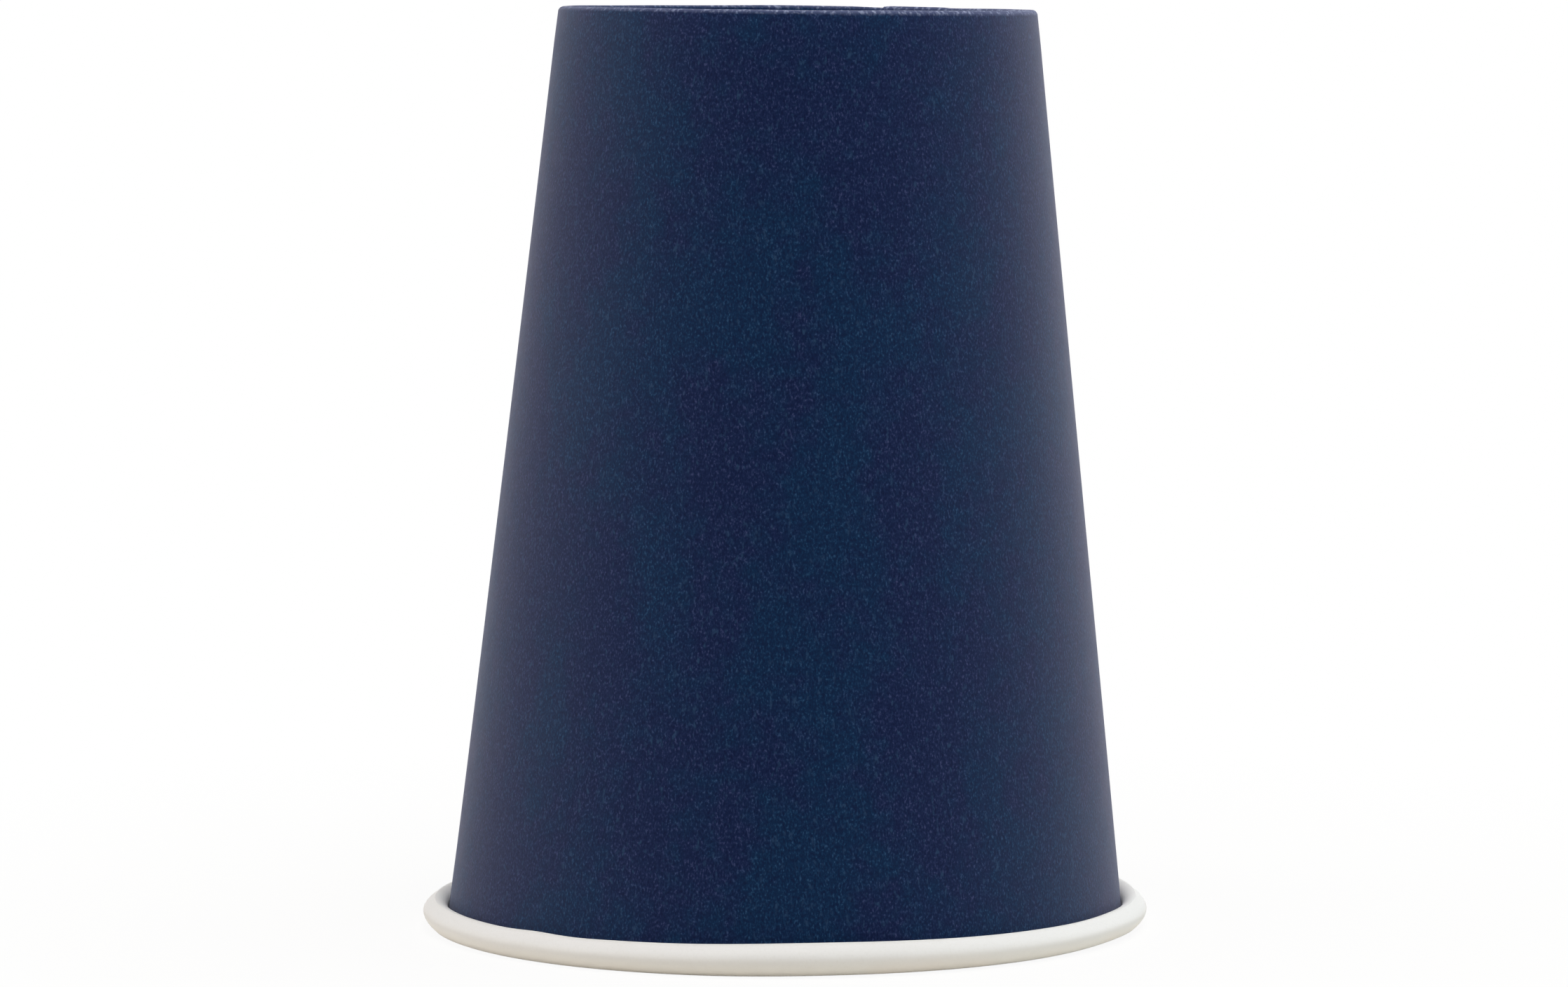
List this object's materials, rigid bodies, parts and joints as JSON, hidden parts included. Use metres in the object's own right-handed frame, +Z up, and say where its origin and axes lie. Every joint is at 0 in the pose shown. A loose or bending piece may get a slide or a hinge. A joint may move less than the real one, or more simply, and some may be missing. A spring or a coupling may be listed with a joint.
{
  "type": "paper cup",
  "caption": "Tapered single-wall paper cup with a rolled rim, a lapped side seam and a recessed bottom disc, upside down on its rim.",
  "frame": {"origin": "centre of the rim on the surface it rests on, under the cup's axis; the cup stands upside down", "axes": "+Z up along the cup's axis from the rolled rim to the foot, +Y away from the viewer, with the side seam behind, between +Y and +X"},
  "size_m": [0.09, 0.09, 0.1135],
  "materials": {
    "printed_board": "matte",
    "white_board": "matte"
  },
  "bodies": {
    "root": {"side_wall": "printed_board", "bottom_disc": "white_board"}
  },
  "joints": []
}
